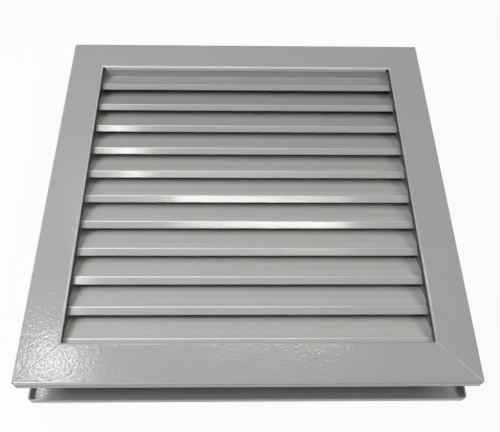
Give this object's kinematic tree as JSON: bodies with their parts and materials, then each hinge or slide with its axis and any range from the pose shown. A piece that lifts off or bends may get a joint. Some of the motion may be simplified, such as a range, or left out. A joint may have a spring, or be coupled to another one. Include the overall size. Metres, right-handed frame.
{
  "type": "air louver",
  "caption": "Square fixed-blade air louver for a door leaf: folded sloping blades in a mitred sheet-steel frame, with a second frame that closes from behind.",
  "frame": {"origin": "middle of the rear face, on the surface that the louver lies on face up", "axes": "+Z out of the front face, +Y towards the head of the louver when it is fitted, +X along the blades, to the right as one looks at the face"},
  "size_m": [0.343, 0.343, 0.051],
  "materials": {
    "frame_paint": "light grey semi-gloss powder coat with a fine orange-peel texture",
    "blade_paint": "light grey semi-gloss powder coat, smoother than on the frames",
    "channel_paint": "light grey powder coat, thin in the corners",
    "screw_zinc": "bright zinc plating"
  },
  "bodies": {
    "root": {"front_top": "frame_paint", "front_bottom": "frame_paint", "front_left": "frame_paint", "front_right": "frame_paint", "rear_top": "frame_paint", "rear_bottom": "frame_paint", "rear_left": "frame_paint", "rear_right": "frame_paint", "head_channel": "channel_paint", "sill_channel": "channel_paint", "jamb_left": "channel_paint", "jamb_right": "channel_paint", "blade_01": "blade_paint", "blade_02": "blade_paint", "blade_03": "blade_paint", "blade_04": "blade_paint", "blade_05": "blade_paint", "blade_06": "blade_paint", "blade_07": "blade_paint", "blade_08": "blade_paint", "blade_09": "blade_paint", "blade_10": "blade_paint", "blade_11": "blade_paint", "head_rivets": "blade_paint", "screw_clips": "channel_paint", "frame_screws": "screw_zinc"}
  },
  "joints": []
}
